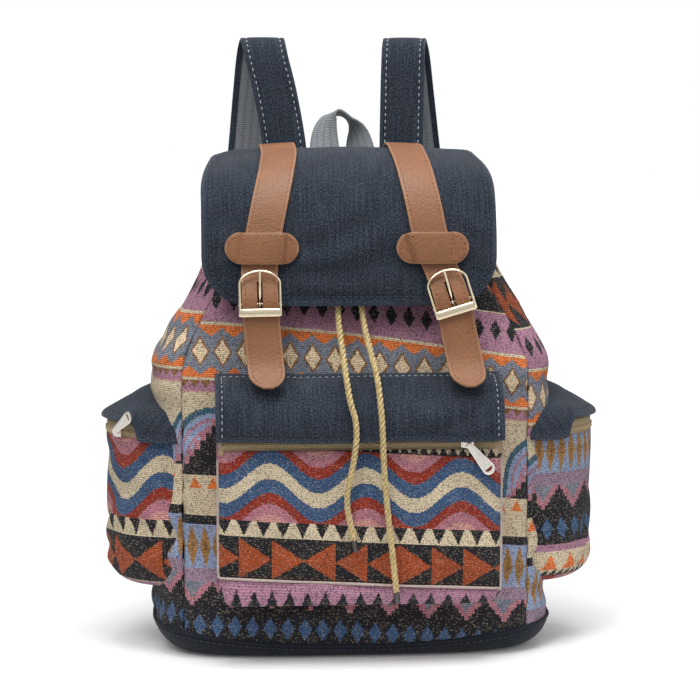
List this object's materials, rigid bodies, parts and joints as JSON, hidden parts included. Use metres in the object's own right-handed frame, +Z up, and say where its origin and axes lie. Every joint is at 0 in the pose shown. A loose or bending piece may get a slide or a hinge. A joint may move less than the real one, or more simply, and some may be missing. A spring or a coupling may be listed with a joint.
{
  "type": "canvas backpack",
  "caption": "Drawstring backpack with patterned woven panels, strapped denim flap, zipped pockets, shoulder straps and a carry handle.",
  "frame": {"origin": "middle of the underside of the flat base", "axes": "+Z up the bag; the front with the flap's straps faces -Y; +X towards the right of the picture"},
  "size_m": [0.392, 0.2648, 0.4697],
  "materials": {
    "denim": "dark navy slub denim",
    "jacquard": "woven band pattern in red, blue, cream, orange, pink and black",
    "leather": "tan pebbled leather with tone-on-tone stitching",
    "gold_metal": "polished pale gold plating",
    "silver_metal": "bright nickel plating",
    "rope": "glossy twisted gold cord",
    "dark_metal": "dark crimped cord tip",
    "webbing": "grey ribbed webbing",
    "tape": "beige zip tape and cream piping",
    "plastic": "black moulded plastic"
  },
  "bodies": {
    "bag": {"adjuster_left": "plastic", "adjuster_right": "plastic", "back_panel": "jacquard", "base_panel": "denim", "buckle_anchor_left": "leather", "buckle_anchor_right": "leather", "buckle_frame_left": "gold_metal", "buckle_frame_right": "gold_metal", "carry_handle": "webbing", "cord_tip_left": "dark_metal", "cord_tip_right": "dark_metal", "drawcord_left": "rope", "drawcord_right": "rope", "drawcord_ring": "rope", "eyelet_left": "gold_metal", "eyelet_right": "gold_metal", "flap_panel": "denim", "flap_strap_left": "leather", "flap_strap_right": "leather", "front_panel": "jacquard", "left_side_panel": "jacquard", "lower_webbing_left": "webbing", "lower_webbing_right": "webbing", "mouth_collar": "denim", "pocket_band": "denim", "pocket_front": "jacquard", "pocket_gusset": "jacquard", "pocket_piping": "tape", "pocket_zip_tape": "tape", "right_side_panel": "jacquard", "shoulder_strap_left": "denim", "shoulder_strap_right": "denim", "side_pocket_roof_left": "denim", "side_pocket_roof_right": "denim", "side_pocket_shell_left": "jacquard", "side_pocket_shell_right": "jacquard", "side_zip_tape_left": "tape", "side_zip_tape_right": "tape", "strap_keeper_left": "leather", "strap_keeper_right": "leather", "strap_lining_left": "webbing", "strap_lining_right": "webbing"},
    "pocket_slider": {"pocket_zip_slider": "silver_metal"},
    "pocket_pull": {"pocket_zip_pull": "silver_metal"},
    "left_slider": {"side_zip_slider_left": "silver_metal"},
    "left_pull": {"side_zip_pull_left": "silver_metal"},
    "right_slider": {"side_zip_slider_right": "silver_metal"},
    "right_pull": {"side_zip_pull_right": "silver_metal"},
    "left_prong": {"buckle_prong_left": "gold_metal"},
    "right_prong": {"buckle_prong_right": "gold_metal"}
  },
  "joints": [
    {"name": "pocket_zip", "type": "slide", "parent": "bag", "child": "pocket_slider", "axis": [1, 0, 0], "range_m": [-0.174, 0.014]},
    {"name": "pocket_pull_hinge", "type": "hinge", "parent": "pocket_slider", "child": "pocket_pull", "pos_m": [0.08, -0.1116, 0.171], "axis": [-0.766, 0, -0.6428], "range_deg": [0, 85]},
    {"name": "left_zip", "type": "hinge", "parent": "bag", "child": "left_slider", "pos_m": [-0.135, 0, 0.172], "axis": [0, 0, -1], "range_deg": [-12, 84]},
    {"name": "left_pull_hinge", "type": "hinge", "parent": "left_slider", "child": "left_pull", "pos_m": [-0.18581, -0.03691, 0.172], "axis": [0.3288, -0.4525, -0.8289], "range_deg": [0, 150]},
    {"name": "right_zip", "type": "hinge", "parent": "bag", "child": "right_slider", "pos_m": [0.135, 0, 0.172], "axis": [0, 0, 1], "range_deg": [-88, 8]},
    {"name": "right_pull_hinge", "type": "hinge", "parent": "right_slider", "child": "right_pull", "pos_m": [0.18311, 0.04037, 0.172], "axis": [0.6225, -0.7418, -0.2496], "range_deg": [0, 150]},
    {"name": "left_prong_hinge", "type": "hinge", "parent": "bag", "child": "left_prong", "pos_m": [-0.07416, -0.0907, 0.275], "axis": [0.9999, 0, 0.016], "range_deg": [0, 8]},
    {"name": "right_prong_hinge", "type": "hinge", "parent": "bag", "child": "right_prong", "pos_m": [0.0705, -0.0907, 0.27536], "axis": [0.9572, 0, 0.2893], "range_deg": [0, 8]}
  ]
}
